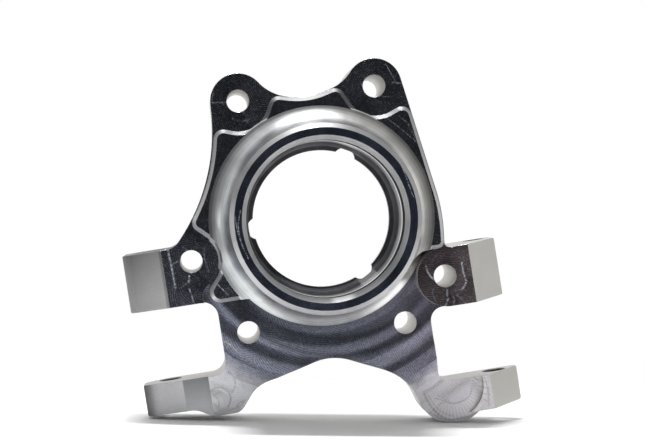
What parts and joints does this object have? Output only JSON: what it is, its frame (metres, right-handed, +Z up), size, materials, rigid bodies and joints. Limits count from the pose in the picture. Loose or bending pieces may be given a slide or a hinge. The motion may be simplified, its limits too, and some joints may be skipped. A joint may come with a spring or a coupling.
{
  "type": "steering knuckle",
  "caption": "Billet steering knuckle with a stepped hub bearing bore, bolt ears above and a tab-and-arm fork on each side that takes a long clevis bolt.",
  "frame": {"origin": "on the axis of the hub bearing bore, at the middle of the bearing seat", "axes": "+Y runs backwards along the bore, from the boss face to the back plane; +Z is up towards the bolt ears; +X is right, seen from the boss face"},
  "size_m": [0.2123, 0.09, 0.2119],
  "materials": {
    "billet": "machined, satin to bright"
  },
  "bodies": {
    "root": {"steering_knuckle": "billet"}
  },
  "joints": []
}
